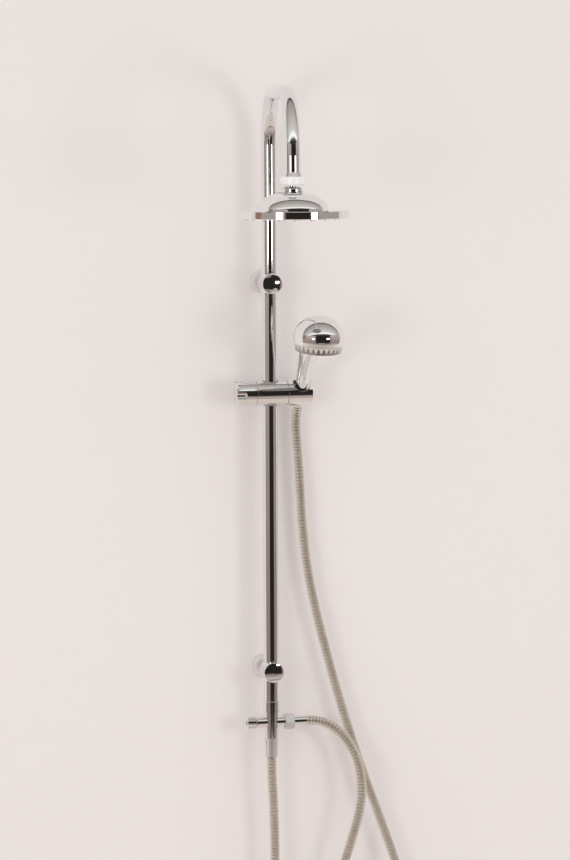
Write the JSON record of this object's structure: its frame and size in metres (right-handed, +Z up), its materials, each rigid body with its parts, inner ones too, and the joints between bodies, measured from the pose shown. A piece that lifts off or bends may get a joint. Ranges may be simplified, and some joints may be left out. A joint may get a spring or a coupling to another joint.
{
  "type": "shower rail kit",
  "caption": "Rigid riser rail with a swan neck and round rain head, a sliding holder with a hand shower, a diverter and ribbed metal hoses.",
  "frame": {"origin": "the lower bracket's screw hole, on the wall plane", "axes": "+Z up along the rail, +Y into the wall, +X to the right of someone who faces the wall"},
  "size_m": [0.3349, 0.4218, 1.4773],
  "materials": {
    "chrome": "polished",
    "steel": "satin",
    "hose_steel": "bright",
    "brass": "machined",
    "white_plastic": "gloss",
    "nylon": "matt",
    "grey_plastic": "matt",
    "rubber": "soft",
    "silicone": "soft"
  },
  "bodies": {
    "wall_frame": {"riser_rail": "chrome", "bracket_grub_screws": "steel", "arm_spigot": "chrome", "union_nut": "white_plastic", "union_washer": "rubber", "swivel_ball": "chrome", "diverter_body": "chrome", "rail_collar": "chrome", "rail_collar_screw": "steel", "diverter_o_rings": "rubber", "gland_nut": "chrome", "outlet_hose_nut": "chrome", "outlet_hose_ferrule": "chrome", "outlet_hose_washer": "rubber", "inlet_hose_nut": "chrome", "inlet_hose_ferrule": "chrome", "inlet_hose_washer": "rubber", "inlet_hose": "hose_steel", "tail_nut": "chrome", "tail_ferrule": "chrome", "tail_washer": "rubber", "shower_hose": "hose_steel", "lower_wall_plate": "steel", "lower_bracket_pillar": "chrome", "lower_wall_flange": "chrome", "lower_rail_sleeve": "nylon", "lower_ball_cap": "chrome", "upper_wall_plate": "steel", "upper_bracket_pillar": "chrome", "upper_wall_flange": "chrome", "upper_rail_sleeve": "nylon", "upper_ball_cap": "chrome"},
    "rail_bush": {"rail_bush": "nylon"},
    "slider": {"slider_body": "chrome", "pressure_pad": "nylon", "holder_screw": "steel", "friction_ring": "rubber"},
    "lock_knob": {"lock_knob": "chrome", "lock_screw": "steel"},
    "holder": {"holder_barrel": "chrome", "holder_liner": "grey_plastic"},
    "handset": {"handset_body": "chrome", "head_cap": "chrome", "spray_distributor": "grey_plastic", "spray_plate": "grey_plastic", "handset_nozzles": "silicone", "handset_hose_nut": "chrome", "handset_hose_ferrule": "chrome", "handset_hose_washer": "rubber"},
    "selector": {"selector_ring": "chrome"},
    "ball_seat": {"ball_seat": "nylon"},
    "rain_head": {"ball_collar": "chrome", "rain_shell": "chrome", "rain_face_plate": "grey_plastic", "rain_nozzles": "silicone"},
    "diverter": {"diverter_knob": "chrome", "diverter_spindle": "brass", "knob_screw": "steel"}
  },
  "joints": [
    {"name": "slider_slide", "type": "slide", "parent": "wall_frame", "child": "rail_bush", "axis": [0, 0, 1], "range_m": [-0.36, 0.12], "deforming": ["shower_hose"]},
    {"name": "slider_swivel", "type": "hinge", "parent": "rail_bush", "child": "slider", "pos_m": [0, -0.048, 0.406], "axis": [0, 0, 1], "range_deg": [-25, 35], "deforming": ["shower_hose"]},
    {"name": "lock_knob_turn", "type": "hinge", "parent": "slider", "child": "lock_knob", "pos_m": [-0.0366, -0.048, 0.406], "axis": [1, 0, 0], "range_deg": [0, 90]},
    {"name": "holder_tilt", "type": "hinge", "parent": "slider", "child": "holder", "pos_m": [0.0425, -0.048, 0.406], "axis": [1, 0, 0], "range_deg": [-38, 15], "deforming": ["shower_hose"]},
    {"name": "handset_lift", "type": "slide", "parent": "holder", "child": "handset", "axis": [0, -0.6157, 0.788], "range_m": [0, 0.045], "deforming": ["shower_hose"]},
    {"name": "selector_turn", "type": "hinge", "parent": "handset", "child": "selector", "pos_m": [0.04197, -0.17392, 0.49506], "axis": [0.033, -0.1573, 0.987], "range_deg": [0, 90]},
    {"name": "rain_head_tilt_forward", "type": "hinge", "parent": "wall_frame", "child": "ball_seat", "pos_m": [-0.03656, -0.34576, 0.705], "axis": [1, 0, 0], "range_deg": [-10, 10]},
    {"name": "rain_head_tilt_sideways", "type": "hinge", "parent": "ball_seat", "child": "rain_head", "pos_m": [-0.03656, -0.34576, 0.705], "axis": [0, 1, 0], "range_deg": [-10, 10]},
    {"name": "diverter_turn", "type": "hinge", "parent": "wall_frame", "child": "diverter", "pos_m": [-0.03, -0.048, -0.076], "axis": [1, 0, 0], "range_deg": [0, 90]}
  ]
}
